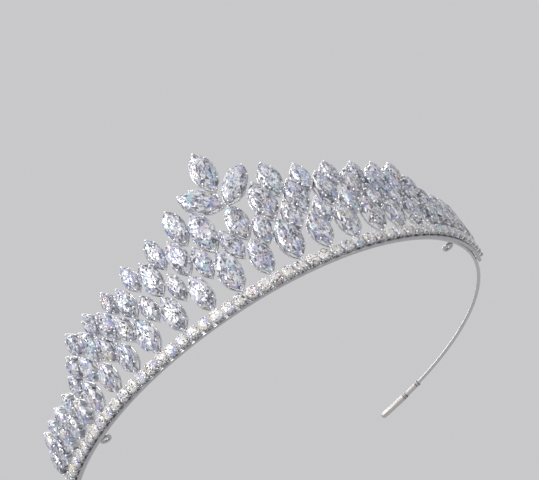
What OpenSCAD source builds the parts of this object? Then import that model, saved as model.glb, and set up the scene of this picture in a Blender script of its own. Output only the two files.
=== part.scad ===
// Bridal tiara: an open round wire headband that carries a row of round stones and,
// above it, a staggered lattice of upright marquise stones with a three-leaf top.
// Millimetres. +Z up, front towards -Y, origin at the centre of the band's circle,
// in the flat plane that the base rail rests on.

/* [Headband] */
// Radius of the band, measured to the middle of the round stones
band_radius = 70; // [62:0.5:84]
// Angle from the front to each end of the headband, in degrees
tip_angle = 147.5; // [125:0.5:160]
// Diameter of the headband wire
wire_d = 1.1; // [1:0.1:1.9]
// Diameter of the end caps
cap_d = 2; // [2:0.1:2.8]
// Length of each end cap
cap_length = 17; // [6:0.5:20]
// Width of the flat base rail under the cups
rail_width = 0.9; // [0.6:0.1:1.6]
// Height of the flat base rail
rail_height = 0.5; // [0.4:0.1:0.8]

/* [Round stones] */
// Diameter of the round stones
round_d = 2.8; // [2.2:0.1:3.2]
// Metal width of each cup around its round stone
cup_rim = 0.2; // [0.15:0.05:0.35]
// Depth of each cup behind the girdle of its stone
cup_depth = 1.9; // [1.7:0.1:2.6]
// Clear gap between neighbouring cups
cup_gap = 0.28; // [0.2:0.02:0.6]

/* [Marquise stones] */
// Length of the grand stones
grand_length = 11.6; // [11:0.1:12]
// Width of the grand stones
grand_width = 5.8; // [5:0.1:6]
// Length of the large stones
large_length = 10; // [9.4:0.1:10.6]
// Width of the large stones
large_width = 4.9; // [4.4:0.1:5.2]
// Length of the medium stones
medium_length = 8.7; // [8:0.1:9.2]
// Width of the medium stones
medium_width = 4; // [3.5:0.1:4.3]
// Length of the small stones
small_length = 7.4; // [6.8:0.1:8]
// Width of the small stones
small_width = 3.5; // [3.1:0.1:3.8]
// Length of the tiny stones
tiny_length = 6.4; // [5.8:0.1:6.8]
// Width of the tiny stones
tiny_width = 3.1; // [2.8:0.1:3.4]
// Height of a marquise stone's crown above its girdle
crown_height = 0.9; // [0.6:0.1:1.2]
// Depth of a marquise stone's pavilion below its girdle
pavilion_depth = 1.6; // [1.2:0.1:1.7]

/* [Settings] */
// Metal width of a setting's rim outside its stone
rim = 0.33; // [0.28:0.01:0.4]
// Diameter of the prongs
prong_d = 0.54; // [0.46:0.02:0.6]
// Height of the prong tips above the stone's girdle
prong_rise = 0.5; // [0.3:0.05:0.7]
// Depth of a setting behind the girdle of its stone
setting_depth = 2.3; // [2.2:0.1:2.8]
// Height of each gallery ring, seen from the side
ring_height = 0.5; // [0.35:0.05:0.6]
// Diameter of the posts that carry the lowest row
post_d = 0.7; // [0.5:0.05:0.9]

/* [Lattice] */
// Spacing of the four inner columns of the lowest row
front_pitch = 8.7; // [8.4:0.05:9.2]
// Spacing of the next three columns
side_pitch = 7.6; // [7.3:0.05:8]
// Spacing of the columns at each end
end_pitch = 5.6; // [5.4:0.05:5.9]
// Clear gap between the rims of two stones that lie side by side
side_gap = 0.15; // [0.1:0.01:0.3]
// Clear gap between the prongs of two stones that meet tip to tip
tip_gap = 0.1; // [0.05:0.01:0.3]
// Clear gap between the cups of the round stones and the lowest row's feet
low_gap = 0.15; // [0.1:0.05:1]
// Least height of the second row's feet above the middle of the round stones
nest_foot = 8.35; // [7:0.05:9.5]
// Least height of the second row's feet at the ends of the lattice
nest_end_foot = 7.05; // [6:0.05:8.2]
// Outward lean of the two stones of the second row beside the middle, in degrees
nest_lean = 11; // [6:0.5:13]
// Sideways step of the first crest stones away from the top leaves
crest_step = 0.8; // [0.7:0.05:1.2]
// Outward flare of the lattice from upright, in degrees
flare = 2.1; // [0:0.1:5]

/* [Top leaves] */
// Angle of the two side leaves from upright, in degrees
wing_lean = 47.5; // [45:0.5:51]
// Half the distance between the inner tips of the side leaves
wing_spread = 0.35; // [0.3:0.01:0.6]
// Height of the side leaves' inner tips above the stone below them
wing_rise = 0.35; // [0.3:0.01:0.8]
// Height of the top leaf's foot above the inner tips of the side leaves
top_rise = 5; // [4.6:0.05:5.4]

/* [Hairpin loops] */
// Diameter of the hole in each hairpin loop
loop_bore = 2; // [1.6:0.1:2.4]
// Wall of each hairpin loop
loop_wall = 0.6; // [0.4:0.05:0.8]
// Height of each hairpin loop
loop_height = 1; // [0.8:0.1:1.9]
// Angle from the front to each hairpin loop, in degrees
loop_angle = 54; // [40:1:80]

/* [Hidden] */

METAL = "silver";
CRYSTAL = "lavender";
ROUND_FN = 48;
POST_FN = 24;

// A running clearance between two soldered pieces, so that they meet without overlapping
seat = 0.02;
// How far a gallery ring reaches in under its stone
ring_lip = 0.1;
// Half the thickness of a stone's girdle
half_girdle = 0.08;
// Gap between a stone's girdle and the bearing ring below it
bearing_drop = 0.2;
// Share of a stone's length at which its side prongs stand, from the middle
prong_share = 0.3;
// Size of a stone's table as a share of its girdle outline
table_share = 0.58;
// Points along each side of a marquise stone's outline
side_points = 5;

// Calibres of marquise stone, as [length, width]
GRAND = [grand_length, grand_width];
LARGE = [large_length, large_width];
MEDIUM = [medium_length, medium_width];
SMALL = [small_length, small_width];
TINY = [tiny_length, tiny_width];

// Columns are counted from the middle; half columns lie between two whole ones
FRONT_COLUMNS = 4;
SIDE_COLUMNS = 7;
LAST_COLUMN = 12;
LAST_HIGH = 7;
FIRST_CREST = 1.5;

cup_r = round_d / 2 + cup_rim;
cup_pitch = 2 * cup_r + cup_gap;
cup_post_r = cup_rim + 0.02;
low_foot = cup_r + low_gap;
// The cups stand on the flat rail
row_z = rail_height + cup_r + seat;
wire_z = cap_d / 2;
wire_path_r = band_radius - cup_depth - wire_d / 2 - seat;
cups_per_side = ceil(column_place(LAST_COLUMN) / cup_pitch);
// Cups from the middle that belong to the front group
front_cups = round(cups_per_side / 3);
rail_arc = arc_angle((cups_per_side + 0.5) * cup_pitch);
cap_arc = cap_length / wire_path_r * 180 / PI;
loop_r = loop_bore / 2 + loop_wall;
loop_path_r = wire_path_r - wire_d / 2 - loop_r - seat;
post_back = setting_depth;

function arc_angle(length) = length / band_radius * 180 / PI;

// ---- Rules of the lattice ----

// Arc length from the middle to a column, counted away from the middle
function column_place(c) =
    front_pitch * min(c, FRONT_COLUMNS)
    + side_pitch * max(0, min(c, SIDE_COLUMNS) - FRONT_COLUMNS)
    + end_pitch * max(0, c - SIDE_COLUMNS);

// Half length, half width and side radius of a setting's rim around one calibre
function rim_hl(stone) = stone[0] / 2 + rim;
function rim_hw(stone) = stone[1] / 2 + rim;
function side_r(hl, hw) = (hl * hl + hw * hw) / (2 * hw);
function rim_r(stone) = side_r(rim_hl(stone), rim_hw(stone));
// Distance from a stone's middle to the outside of its end prong
function reach(stone) = stone[0] / 2 + prong_d;

// Rise of one stone's middle above its neighbour's that leaves side_gap between
// their curved rims, when the two stand a sideways distance apart
function nestle(below, above, distance) =
    let (span = rim_r(below) + rim_r(above) + side_gap,
         across = distance + rim_r(below) - rim_hw(below) + rim_r(above) - rim_hw(above))
    sqrt(max(0, span * span - across * across));

function low_calibre(c) =
    c == 1 ? GRAND : c <= FRONT_COLUMNS ? LARGE : c <= SIDE_COLUMNS ? MEDIUM : SMALL;
function nest_calibre(c) = c < 2 ? MEDIUM : c < SIDE_COLUMNS ? SMALL : TINY;
function high_calibre(c) =
    c == 1 ? GRAND : c < FRONT_COLUMNS ? LARGE : c < LAST_HIGH ? MEDIUM : TINY;
function crest_calibre(c) =
    c == FIRST_CREST ? LARGE : c < 3 ? MEDIUM : c < FRONT_COLUMNS ? SMALL : TINY;

// Height of each stone's middle above the middle of the round stones
function low_rise(c) = low_foot + reach(low_calibre(c));

function nest_rise(c) =
    let (stone = nest_calibre(c),
         foot = c < SIDE_COLUMNS ? nest_foot : nest_end_foot)
    max([foot + reach(stone),
         for (side = [abs(c - 0.5), c + 0.5])
             low_rise(side) + nestle(low_calibre(side), stone,
                                     abs(column_place(c) - column_place(side)))]);

function high_rise(c) =
    let (stone = high_calibre(c))
    max([low_rise(c) + reach(low_calibre(c)) + tip_gap + reach(stone),
         for (side = [abs(c - 0.5), c + 0.5])
             nest_rise(side) + nestle(nest_calibre(side), stone,
                                      abs(column_place(c) - column_place(side)))]);

function crest_place(c) = column_place(c) + (c == FIRST_CREST ? crest_step : 0);

function crest_rise(c) =
    let (stone = crest_calibre(c))
    max([nest_rise(c) + reach(nest_calibre(c)) + tip_gap + reach(stone),
         for (side = [c - 0.5, c + 0.5])
             high_rise(side) + nestle(high_calibre(side), stone,
                                      abs(crest_place(c) - column_place(side)))]);

// Least height of a side leaf's middle at which the arc of its rim clears, by tip_gap,
// the upper end prong of the third row's stone beside it
wing_s = wing_spread + reach(GRAND) * sin(wing_lean);
wing_offset = rim_r(GRAND) - rim_hw(GRAND);
wing_span = rim_r(GRAND) + prong_d / 2 + tip_gap;
wing_across = column_place(1) - wing_s + wing_offset * cos(wing_lean);
wing_clear_h = high_rise(1) + reach(high_calibre(1)) - prong_d / 2
    + sqrt(max(0, wing_span * wing_span - wing_across * wing_across))
    - wing_offset * sin(wing_lean);
// The point where the three top leaves meet, above the middle stone of the third row
hub_h = max(high_rise(0) + reach(high_calibre(0)) + wing_rise,
            wing_clear_h - reach(GRAND) * cos(wing_lean));
wing_h = hub_h + reach(GRAND) * cos(wing_lean);
top_h = hub_h + top_rise + reach(GRAND);

// ---- Placing ----

// Moves a piece drawn face-on (+Y up, +Z outwards) to its place on the band:
// arc length s from the middle (positive to the right) and height h above the round stones
module on_band(s, h, lean = 0, tilt = flare) {
    rotate([0, 0, arc_angle(s)])
        translate([0, -band_radius, row_z])
            rotate([90 + tilt, 0, 0])
                translate([0, h, 0])
                    rotate([0, 0, -lean])
                        children();
}

// ---- Marquise stones and their settings, drawn face-on around the girdle's middle ----

// Leaf outline between two equal arcs, with a point at each end
module leaf(length, width) {
    r = side_r(length / 2, width / 2);
    intersection() {
        translate([width / 2 - r, 0]) circle(r, $fn = ROUND_FN * 2);
        translate([r - width / 2, 0]) circle(r, $fn = ROUND_FN * 2);
    }
}

// One point of the leaf outline; turn goes from 0 at the lower tip to 1 at the upper
// tip along the right side, and on to 2 at the lower tip along the left side
function leaf_point(length, width, turn) =
    let (r = side_r(length / 2, width / 2),
         along = turn <= 1 ? turn : 2 - turn,
         y = length / 2 * sin(180 * along - 90),
         x = sqrt(max(0, r * r - y * y)) - r + width / 2)
    [turn <= 1 ? x : -x, y];

function leaf_ring(stone, share, z) =
    [for (i = [0 : 2 * side_points - 1])
        let (p = leaf_point(stone[0] * share, stone[1] * share, i / side_points))
        [p[0], p[1], z]];

// Cut stone: keel point, girdle band, crown and flat table
module marquise_stone(stone) {
    n = 2 * side_points;
    points = concat(
        [[0, 0, -pavilion_depth]],
        leaf_ring(stone, 1, -half_girdle),
        leaf_ring(stone, 1, half_girdle),
        leaf_ring(stone, table_share, crown_height));
    faces = concat(
        [for (i = [0 : n - 1]) [0, 1 + i, 1 + (i + 1) % n]],
        [for (level = [0 : 1], i = [0 : n - 1])
            let (a = 1 + level * n + i, b = 1 + level * n + (i + 1) % n)
            [a, a + n, b + n, b]],
        [[for (i = [n - 1 : -1 : 0]) 1 + 2 * n + i]]);
    color(CRYSTAL) polyhedron(points, faces);
}

module prong(x, y) {
    translate([x, y, -setting_depth])
        cylinder(d = prong_d, h = setting_depth + prong_rise, $fn = POST_FN);
}

module gallery_ring(stone, bottom) {
    translate([0, 0, bottom])
        linear_extrude(ring_height)
            difference() {
                leaf(stone[0] + 2 * rim, stone[1] + 2 * rim);
                leaf(stone[0] - 2 * ring_lip, stone[1] - 2 * ring_lip);
            }
}

// Open basket: two gallery rings joined by two end prongs and four side prongs
module marquise_setting(stone) {
    side_y = stone[0] * prong_share;
    side_x = leaf_edge(stone, side_y) + prong_d / 2 + seat;
    color(METAL) {
        gallery_ring(stone, -bearing_drop - ring_height);
        gallery_ring(stone, -setting_depth);
        for (end = [-1, 1]) {
            prong(0, end * (stone[0] + prong_d) / 2);
            for (side = [-1, 1]) prong(side * side_x, end * side_y);
        }
    }
}

// Half width of a stone's outline at a height from its middle
function leaf_edge(stone, y) =
    let (r = side_r(stone[0] / 2, stone[1] / 2))
    sqrt(r * r - y * y) - r + stone[1] / 2;

// Upright post from a setting's lower ring down to a height below its middle
module post(from, to) {
    translate([0, -to, -post_back])
        rotate([-90, 0, 0])
            cylinder(d = post_d, h = to - from, $fn = POST_FN);
}

// Lowest-row setting with the post that stands on the headband wire
module low_setting(c) {
    stone = low_calibre(c);
    marquise_setting(stone);
    color(METAL) post(stone[0] / 2, low_rise(c) + row_z - wire_z - wire_d / 2 - seat);
}

// Rows of settings or stones, for columns from one to another on one side
module low_settings(side, first, last) {
    for (c = [first : last]) on_band(side * column_place(c), low_rise(c)) low_setting(c);
}

module low_stones(side, first, last) {
    for (c = [first : last])
        on_band(side * column_place(c), low_rise(c)) marquise_stone(low_calibre(c));
}

function nest_turn(side, c) = c < 1 ? side * nest_lean : 0;

module nest_settings(side, first, last) {
    for (c = [first : last])
        on_band(side * column_place(c), nest_rise(c), nest_turn(side, c))
            marquise_setting(nest_calibre(c));
}

module nest_stones(side, first, last) {
    for (c = [first : last])
        on_band(side * column_place(c), nest_rise(c), nest_turn(side, c))
            marquise_stone(nest_calibre(c));
}

module high_settings(side, first, last) {
    for (c = [first : last])
        on_band(side * column_place(c), high_rise(c)) marquise_setting(high_calibre(c));
}

module high_stones(side, first, last) {
    for (c = [first : last])
        on_band(side * column_place(c), high_rise(c)) marquise_stone(high_calibre(c));
}

module crest_settings(side) {
    for (c = [FIRST_CREST : LAST_HIGH - 0.5])
        on_band(side * crest_place(c), crest_rise(c)) marquise_setting(crest_calibre(c));
}

module crest_stones(side) {
    for (c = [FIRST_CREST : LAST_HIGH - 0.5])
        on_band(side * crest_place(c), crest_rise(c)) marquise_stone(crest_calibre(c));
}

// ---- Top leaves ----

module wing_place(side) {
    on_band(side * wing_s, wing_h, side * wing_lean) children();
}

module top_setting() {
    on_band(0, top_h) {
        marquise_setting(GRAND);
        color(METAL) post(GRAND[0] / 2, top_h - hub_h - post_d);
    }
}

module top_stone() {
    on_band(0, top_h) marquise_stone(GRAND);
}

// ---- Round stones in their cups ----

module round_cup() {
    post_path = round_d / 2 + cup_post_r + seat;
    color(METAL) {
        translate([0, 0, -cup_depth])
            difference() {
                cylinder(r = cup_r, h = cup_depth - bearing_drop, $fn = ROUND_FN);
                translate([0, 0, -seat])
                    cylinder(d = round_d - ring_lip, h = cup_depth, $fn = ROUND_FN);
            }
        for (quarter = [45 : 90 : 315])
            rotate([0, 0, quarter])
                translate([post_path, 0, -cup_depth])
                    cylinder(r = cup_post_r, h = cup_depth + prong_rise, $fn = POST_FN);
    }
}

module round_stone() {
    r = round_d / 2;
    color(CRYSTAL)
        rotate_extrude($fn = ROUND_FN)
            polygon([
                [0, half_girdle - cup_depth * 0.6],
                [r, -half_girdle],
                [r, half_girdle],
                [r * table_share, crown_height / 2],
                [0, crown_height / 2]
            ]);
}

module along_cups(first, last) {
    for (i = [first : last]) on_band(i * cup_pitch, 0, 0, 0) children();
}

// ---- Headband ----

module headband_wire() {
    color(METAL)
        translate([0, 0, wire_z])
            rotate([0, 0, -90 - tip_angle + cap_arc])
                rotate_extrude(angle = 2 * (tip_angle - cap_arc), $fn = ROUND_FN * 4)
                    translate([wire_path_r, 0]) circle(d = wire_d, $fn = POST_FN);
}

module base_rail() {
    color(METAL)
        rotate([0, 0, -90 - rail_arc])
            rotate_extrude(angle = 2 * rail_arc, $fn = ROUND_FN * 4)
                translate([band_radius - cup_depth + seat, 0])
                    square([rail_width, rail_height]);
}

// Bent round cap on the left end of the wire, with a domed tip; the right one mirrors it
module end_cap(side) {
    color(METAL)
        mirror([side > 0 ? 1 : 0, 0, 0])
            translate([0, 0, wire_z]) {
                rotate([0, 0, -90 - tip_angle])
                    rotate_extrude(angle = cap_arc, $fn = ROUND_FN * 4)
                        translate([wire_path_r, 0]) circle(d = cap_d, $fn = POST_FN);
                rotate([0, 0, -tip_angle])
                    translate([0, -wire_path_r, 0])
                        sphere(d = cap_d, $fn = POST_FN);
            }
}

// Short upright tube against the inside of the wire, for a hairpin pushed up through it
module hairpin_loop(side) {
    color(METAL)
        rotate([0, 0, side * loop_angle])
            translate([0, -loop_path_r, wire_z - loop_height / 2])
                difference() {
                    cylinder(r = loop_r, h = loop_height, $fn = ROUND_FN);
                    translate([0, 0, -1])
                        cylinder(d = loop_bore, h = loop_height + 2, $fn = ROUND_FN);
                }
}

// ---- Assembly ----

headband_wire();
base_rail();
end_cap(-1);  // end_cap_left
end_cap(1);  // end_cap_right
hairpin_loop(-1);  // hairpin_loop_left
hairpin_loop(1);  // hairpin_loop_right

along_cups(-cups_per_side, -front_cups - 1) round_cup();  // round_cups_left
along_cups(-front_cups, front_cups) round_cup();  // round_cups_front
along_cups(front_cups + 1, cups_per_side) round_cup();  // round_cups_right
along_cups(-cups_per_side, -front_cups - 1) round_stone();  // round_stones_left
along_cups(-front_cups, front_cups) round_stone();  // round_stones_front
along_cups(front_cups + 1, cups_per_side) round_stone();  // round_stones_right

low_settings(-1, FRONT_COLUMNS + 1, LAST_COLUMN);  // low_settings_left_side
low_settings(-1, 1, FRONT_COLUMNS);  // low_settings_left_front
low_settings(1, 0, 0);  // low_setting_middle
low_settings(1, 1, FRONT_COLUMNS);  // low_settings_right_front
low_settings(1, FRONT_COLUMNS + 1, LAST_COLUMN);  // low_settings_right_side
low_stones(-1, FRONT_COLUMNS + 1, LAST_COLUMN);  // low_stones_left_side
low_stones(-1, 1, FRONT_COLUMNS);  // low_stones_left_front
low_stones(1, 0, 0);  // low_stone_middle
low_stones(1, 1, FRONT_COLUMNS);  // low_stones_right_front
low_stones(1, FRONT_COLUMNS + 1, LAST_COLUMN);  // low_stones_right_side

nest_settings(-1, FRONT_COLUMNS + 0.5, LAST_COLUMN - 0.5);  // nest_settings_left_side
nest_settings(-1, 0.5, FRONT_COLUMNS - 0.5);  // nest_settings_left_front
nest_settings(1, 0.5, FRONT_COLUMNS - 0.5);  // nest_settings_right_front
nest_settings(1, FRONT_COLUMNS + 0.5, LAST_COLUMN - 0.5);  // nest_settings_right_side
nest_stones(-1, FRONT_COLUMNS + 0.5, LAST_COLUMN - 0.5);  // nest_stones_left_side
nest_stones(-1, 0.5, FRONT_COLUMNS - 0.5);  // nest_stones_left_front
nest_stones(1, 0.5, FRONT_COLUMNS - 0.5);  // nest_stones_right_front
nest_stones(1, FRONT_COLUMNS + 0.5, LAST_COLUMN - 0.5);  // nest_stones_right_side

high_settings(-1, 1, LAST_HIGH);  // high_settings_left
high_settings(1, 0, 0);  // high_setting_middle
high_settings(1, 1, LAST_HIGH);  // high_settings_right
high_stones(-1, 1, LAST_HIGH);  // high_stones_left
high_stones(1, 0, 0);  // high_stone_middle
high_stones(1, 1, LAST_HIGH);  // high_stones_right

crest_settings(-1);  // crest_settings_left
crest_settings(1);  // crest_settings_right
crest_stones(-1);  // crest_stones_left
crest_stones(1);  // crest_stones_right

wing_place(-1) marquise_setting(GRAND);  // wing_setting_left
wing_place(1) marquise_setting(GRAND);  // wing_setting_right
wing_place(-1) marquise_stone(GRAND);  // wing_stone_left
wing_place(1) marquise_stone(GRAND);  // wing_stone_right
top_setting();
top_stone();
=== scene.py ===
import logging
import math
from dataclasses import dataclass, field
from enum import Enum
from typing import Callable, Sequence

import bpy
import numpy as np
from mathutils import Matrix, Vector


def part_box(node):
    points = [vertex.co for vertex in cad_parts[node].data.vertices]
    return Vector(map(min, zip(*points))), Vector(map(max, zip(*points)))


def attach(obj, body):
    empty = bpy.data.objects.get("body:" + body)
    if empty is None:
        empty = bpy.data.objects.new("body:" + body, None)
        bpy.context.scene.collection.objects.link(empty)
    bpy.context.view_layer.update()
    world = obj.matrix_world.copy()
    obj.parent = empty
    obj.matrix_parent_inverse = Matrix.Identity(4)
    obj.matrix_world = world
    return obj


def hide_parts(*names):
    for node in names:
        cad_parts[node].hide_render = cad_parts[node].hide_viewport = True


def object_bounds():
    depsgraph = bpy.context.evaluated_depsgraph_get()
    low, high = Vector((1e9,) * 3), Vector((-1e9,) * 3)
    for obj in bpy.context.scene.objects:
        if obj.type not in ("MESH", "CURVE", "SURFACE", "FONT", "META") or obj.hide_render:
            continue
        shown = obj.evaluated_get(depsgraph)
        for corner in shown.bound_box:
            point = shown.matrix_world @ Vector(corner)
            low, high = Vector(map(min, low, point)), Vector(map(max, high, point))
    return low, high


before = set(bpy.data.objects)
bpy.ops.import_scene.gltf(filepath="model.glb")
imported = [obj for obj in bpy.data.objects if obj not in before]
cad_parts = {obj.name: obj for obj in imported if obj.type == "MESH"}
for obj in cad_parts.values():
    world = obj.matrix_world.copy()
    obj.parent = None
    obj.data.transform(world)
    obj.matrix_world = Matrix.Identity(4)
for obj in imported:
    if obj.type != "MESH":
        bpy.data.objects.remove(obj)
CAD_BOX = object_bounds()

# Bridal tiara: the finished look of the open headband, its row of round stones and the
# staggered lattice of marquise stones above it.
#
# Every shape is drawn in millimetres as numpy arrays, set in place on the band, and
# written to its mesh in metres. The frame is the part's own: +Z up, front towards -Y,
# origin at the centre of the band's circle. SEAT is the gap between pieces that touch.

LOG = logging.getLogger("tiara")
MM = 0.001
SEED = 20
SEAT = 0.02
SIDES = ((-1, "left"), (1, "right"))
CREASE_DEGREES = 50.0
Colour = tuple[float, float, float]


# ---- Shapes as arrays ----


@dataclass
class Shell:
    """Points and faces of one shape, in millimetres, with what varies over them.

    A face is a row of four point numbers, and a triangle has -1 as its fourth.
    """

    points: np.ndarray
    faces: np.ndarray
    recess: np.ndarray
    uv: np.ndarray
    smooth: bool = True

    @classmethod
    def make(cls, points: np.ndarray, faces: np.ndarray, recess: np.ndarray | float = 0.0,
             uv: np.ndarray | None = None, smooth: bool = True) -> "Shell":
        """Fills in whatever isn't given and turns the faces outwards.

        Args:
            points: Array (n, 3).
            faces: Array (m, 4).
            recess: How deep in a corner each point lies, from 0 open to 1 hidden, which sets
                how much shade is painted there.
            uv: Array (n, 2) of distances along and around the shape, in millimetres.
            smooth: Whether the faces are shaded as one curved surface.

        Returns:
            The shell, with its faces pointing outwards.
        """
        count = len(points)
        shell = cls(
            np.asarray(points, float), np.asarray(faces, int),
            np.broadcast_to(recess, count).astype(float).copy(),
            np.zeros((count, 2)) if uv is None else np.asarray(uv, float), smooth)
        if shell.volume() < 0:
            shell.faces = np.where(shell.faces[:, 3:] < 0, shell.faces[:, [2, 1, 0, 3]],
                                   shell.faces[:, ::-1])
        return shell

    def volume(self) -> float:
        """Signed volume: the sum over triangles of a . (b x c) / 6.

        Returns:
            Cubic millimetres, below zero where the faces point inwards.
        """
        quads = self.faces[:, 3] >= 0
        corners = np.vstack([self.faces[:, :3], self.faces[quads][:, [0, 2, 3]]])
        a, b, c = (self.points[corners[:, k]] for k in range(3))
        return float(np.einsum("ij,ij->", a, np.cross(b, c)) / 6)

    def placed(self, matrices: np.ndarray) -> "Shell":
        """Copies of the shell, one for each place.

        Args:
            matrices: Array (k, 4, 4) of places, or one place (4, 4).

        Returns:
            One shell of all k copies.
        """
        matrices = np.asarray(matrices, float).reshape(-1, 4, 4)
        count = len(matrices)
        step = np.arange(count)[:, None, None] * len(self.points)
        points = np.einsum("kij,nj->kni", matrices[:, :3, :3], self.points)
        points += matrices[:, None, :3, 3]
        faces = np.where(self.faces[None] < 0, -1, self.faces[None] + step)
        return Shell(points.reshape(-1, 3), faces.reshape(-1, 4),
                     np.tile(self.recess, count), np.tile(self.uv, (count, 1)), self.smooth)


def joined(shells: Sequence[Shell]) -> Shell:
    """One shell of several, in the order given.

    Args:
        shells: Shells that are all smooth or all faceted.

    Returns:
        One shell of them all.
    """
    before = np.cumsum([0] + [len(s.points) for s in shells[:-1]])
    faces = [np.where(s.faces < 0, -1, s.faces + n) for s, n in zip(shells, before)]
    return Shell(np.vstack([s.points for s in shells]), np.vstack(faces),
                 np.concatenate([s.recess for s in shells]),
                 np.vstack([s.uv for s in shells]), shells[0].smooth)


def sweep(rings: np.ndarray, closed: bool = False,
          recess: np.ndarray | float = 0.0) -> Shell:
    """Skin over a profile that is carried along a path.

    The surface is P(i, j), the profile's j-th point at the path's i-th stop. The profile
    closes on itself. A path that isn't closed has each end shut by a fan of triangles to
    the middle of its last profile.

    Args:
        rings: Array (stops, profile points, 3).
        closed: Whether the last stop joins the first.
        recess: One value for each stop and profile point, or one for all.

    Returns:
        The closed shell, with distances along and around it as its uv.
    """
    stops, around, _ = rings.shape
    number = np.arange(stops * around).reshape(stops, around)
    here = number if closed else number[:-1]
    ahead = np.roll(number, -1, axis=0) if closed else number[1:]
    quads = np.stack([here, np.roll(here, -1, axis=1), np.roll(ahead, -1, axis=1), ahead],
                     axis=-1).reshape(-1, 4)
    middles = rings.mean(axis=1)
    along = np.concatenate([[0], np.linalg.norm(np.diff(middles, axis=0), axis=1).cumsum()])
    girth = np.linalg.norm(np.diff(rings, axis=1), axis=2).sum(axis=1).max()
    uv = np.stack(np.broadcast_arrays(along[:, None],
                                      np.linspace(0, girth, around)[None]), axis=-1)
    points, uv = rings.reshape(-1, 3), uv.reshape(-1, 2)
    deep = np.broadcast_to(recess, (stops, around)).ravel()
    if closed:
        return Shell.make(points, quads, recess=deep, uv=uv)
    caps = []
    for ring, pole in ((number[0], len(points)), (number[-1][::-1], len(points) + 1)):
        caps.append(np.stack([np.full(around, pole), np.roll(ring, -1), ring,
                              np.full(around, -1)], axis=-1))
    return Shell.make(np.vstack([points, middles[0], middles[-1]]),
                      np.vstack([quads] + caps),
                      recess=np.concatenate([deep, deep[[0, -1]]]),
                      uv=np.vstack([uv, uv[0], uv[-1]]))


def unit_circle(count: int, start: float = 0.0) -> np.ndarray:
    """Points (cos a, sin a) at equal angles, the first of them start steps round."""
    angle = (np.arange(count) + start) * 2 * math.pi / count
    return np.stack([np.cos(angle), np.sin(angle)], axis=-1)


def rod(stops: np.ndarray, sides: int, recess: np.ndarray | float = 0.0) -> Shell:
    """Round rod along +Z that leans and swells from stop to stop.

    With lean x_i, height z_i and radius r_i at stop i, the point at angle a is
    (x_i + r_i cos a, r_i sin a, z_i).

    Args:
        stops: Array (stops, 3) of lean, height and radius.
        sides: Points around.
        recess: One value for each stop, or one for all.

    Returns:
        The closed shell.
    """
    lean, height, radius = stops.T[:, :, None]
    x, y = unit_circle(sides).T
    rings = np.stack(np.broadcast_arrays(lean + radius * x, radius * y, height), axis=-1)
    deep = np.broadcast_to(recess, len(stops))[:, None]
    return sweep(rings, recess=np.broadcast_to(deep, (len(stops), sides)))


def revolved(section: np.ndarray, count: int, recess: np.ndarray | float) -> Shell:
    """Ring about +Z, where section point (r, z) at angle a goes to (r cos a, r sin a, z).

    Args:
        section: Array (points, 2) of radius and height.
        count: Stops around.
        recess: One value for each section point, or one for all.

    Returns:
        The closed ring.
    """
    x, y = unit_circle(count).T[:, :, None]
    radius, height = section.T
    rings = np.stack(np.broadcast_arrays(radius * x, radius * y, height), axis=-1)
    return sweep(rings, closed=True, recess=np.broadcast_to(recess, rings.shape[:2]))


def soft_box(width: float, height: float, count: int, power: float = 0.55) -> np.ndarray:
    """Rounded rectangle around (0, 0).

    A point at angle a is (w/2 |cos a|^p sign cos a, h/2 |sin a|^p sign sin a).
    """
    wave = unit_circle(count, 0.5)
    return np.sign(wave) * np.abs(wave) ** power * [width / 2, height / 2]


def turned(axis: str, degrees: float) -> np.ndarray:
    """Turn about an axis, as a (4, 4) array."""
    return np.array(Matrix.Rotation(math.radians(degrees), 4, axis))


def moved(x: float = 0.0, y: float = 0.0, z: float = 0.0) -> np.ndarray:
    """Shift, as a (4, 4) array."""
    return np.array(Matrix.Translation((x, y, z)))


# ---- Stones ----


class Calibre(Enum):
    """Sizes of marquise stone, as length and width."""

    GRAND = (11.6, 5.8)
    LARGE = (10.0, 4.9)
    MEDIUM = (8.7, 4.0)
    SMALL = (7.4, 3.5)
    TINY = (6.4, 3.1)

    @property
    def length(self) -> float:
        """Length of the stone."""
        return self.value[0]

    @property
    def width(self) -> float:
        """Width of the stone."""
        return self.value[1]


def side_radius(length: float, width: float) -> float:
    """Radius of the two equal arcs that make a leaf: (l^2 + w^2) / 2w for its halves."""
    half, side = length / 2, width / 2
    return (half * half + side * side) / (2 * side)


def leaf_points(length: float | np.ndarray, width: float | np.ndarray,
                turn: np.ndarray) -> np.ndarray:
    """Points on a leaf outline between two equal arcs.

    Turn goes from 0 at the lower tip to 1 at the upper tip along the right side, and on
    to 2 along the left side. The height is -l cos(pi turn), and the breadth is that of
    the arc at that height.

    Args:
        length: Length of the leaf.
        width: Width of the leaf.
        turn: Array of turns.

    Returns:
        Array of points, their x and y last.
    """
    along = np.where(turn <= 1, turn, 2 - turn)
    radius = side_radius(length, width)
    y = -length / 2 * np.cos(math.pi * along)
    x = np.sqrt(np.maximum(radius ** 2 - y ** 2, 0)) - radius + width / 2
    return np.stack([np.where(turn <= 1, x, -x), y], axis=-1)


def circle_points(diameter: float, turn: np.ndarray) -> np.ndarray:
    """Points on a circle, where turn goes from 0 at the bottom once round to 2."""
    angle = math.pi * (turn - 0.5)
    return diameter / 2 * np.stack([np.cos(angle), np.sin(angle)], axis=-1)


MAINS = 8


def previous(part: np.ndarray) -> np.ndarray:
    """Each point's neighbour before it, round the stone."""
    return np.roll(part, 1)


def following(part: np.ndarray) -> np.ndarray:
    """Each point's neighbour after it, round the stone."""
    return np.roll(part, -1)


def levelled(flat: np.ndarray, height: float) -> np.ndarray:
    """Flat points (n, 2) lifted to a height, as (n, 3)."""
    return np.column_stack([flat, np.full(len(flat), height)])


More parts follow.
